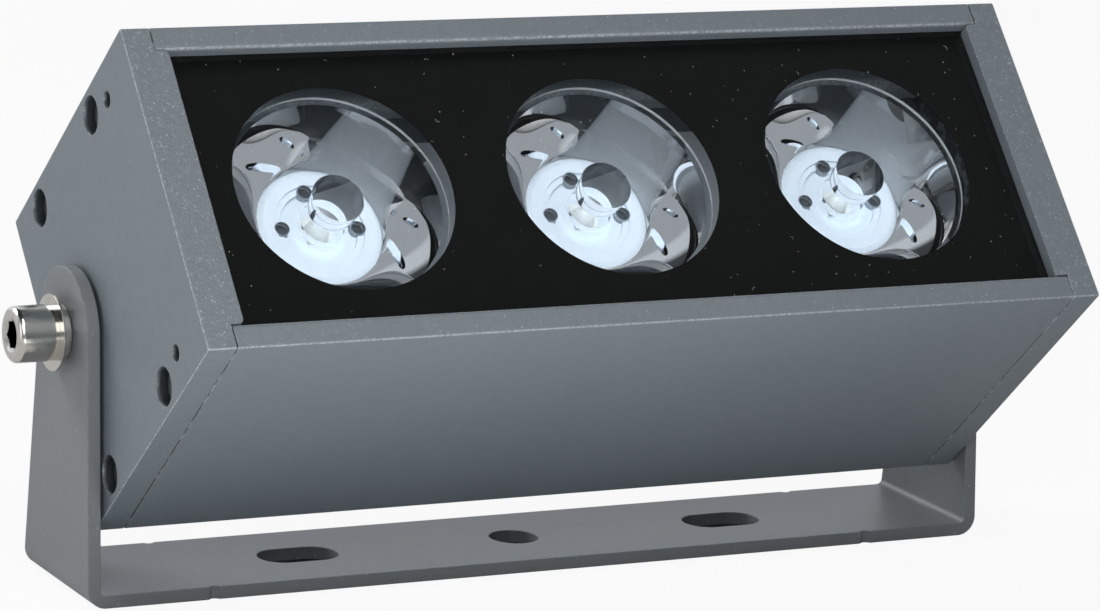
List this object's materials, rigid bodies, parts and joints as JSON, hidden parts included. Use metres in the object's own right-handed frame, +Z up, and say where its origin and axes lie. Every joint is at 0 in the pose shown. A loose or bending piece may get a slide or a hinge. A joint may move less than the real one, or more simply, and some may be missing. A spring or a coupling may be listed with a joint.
{
  "type": "led floodlight",
  "caption": "Long LED floodlight with a square aluminium head, clear lenses behind glass, tilting in a U-shaped steel bracket with slotted base.",
  "frame": {"origin": "centre of the round hole in the bracket's base, on its underside, which rests on the mounting surface", "axes": "+X along the head, +Y to the rear where the cooling fins and the cable gland are, +Z up from the mounting surface; the head shines towards -Y, tilted 42.5 degrees up"},
  "size_m": [0.2592, 0.1157, 0.1322],
  "materials": {
    "bracket_paint": "matte",
    "head_coating": "matte",
    "clear_glass": "gloss",
    "black_print": "satin",
    "seal_rubber": "matte",
    "thermal_pad": "matte",
    "board_white": "satin",
    "emitter": "satin",
    "small_steel": "satin",
    "polished_steel": "polished",
    "white_plastic": "satin",
    "lead_insulation": "satin",
    "driver_potting": "matte",
    "gland_plastic": "matte",
    "lens_clear": "polished",
    "nylon_washer": "satin"
  },
  "bodies": {
    "bracket": {"bracket": "bracket_paint"},
    "lamp_head": {"housing": "head_coating", "front_glass": "clear_glass", "glass_print": "black_print", "glass_gasket": "seal_rubber", "thermal_pad": "thermal_pad", "led_board": "board_white", "led_emitters": "emitter", "board_screws": "small_steel", "board_connector": "white_plastic", "board_leads": "lead_insulation", "led_driver": "driver_potting", "driver_screws": "small_steel", "gland_body": "gland_plastic", "gland_washer": "seal_rubber", "gland_locknut": "gland_plastic", "gland_seal": "seal_rubber", "gland_cap": "gland_plastic", "lens_1": "lens_clear", "lens_holder_1": "white_plastic", "lens_2": "lens_clear", "lens_holder_2": "white_plastic", "lens_3": "lens_clear", "lens_holder_3": "white_plastic", "end_cap_left": "head_coating", "cap_gasket_left": "seal_rubber", "cap_screws_left": "small_steel", "pivot_screw_left": "polished_steel", "spring_washer_left": "polished_steel", "flat_washer_left": "polished_steel", "pivot_bush_left": "polished_steel", "gap_washer_left": "nylon_washer", "end_cap_right": "head_coating", "cap_gasket_right": "seal_rubber", "cap_screws_right": "small_steel", "pivot_screw_right": "polished_steel", "spring_washer_right": "polished_steel", "flat_washer_right": "polished_steel", "pivot_bush_right": "polished_steel", "gap_washer_right": "nylon_washer"}
  },
  "joints": [
    {"name": "tilt", "type": "hinge", "parent": "bracket", "child": "lamp_head", "pos_m": [0, 0, 0.06], "axis": [-1, 0, 0], "range_deg": [-61, 156]}
  ]
}
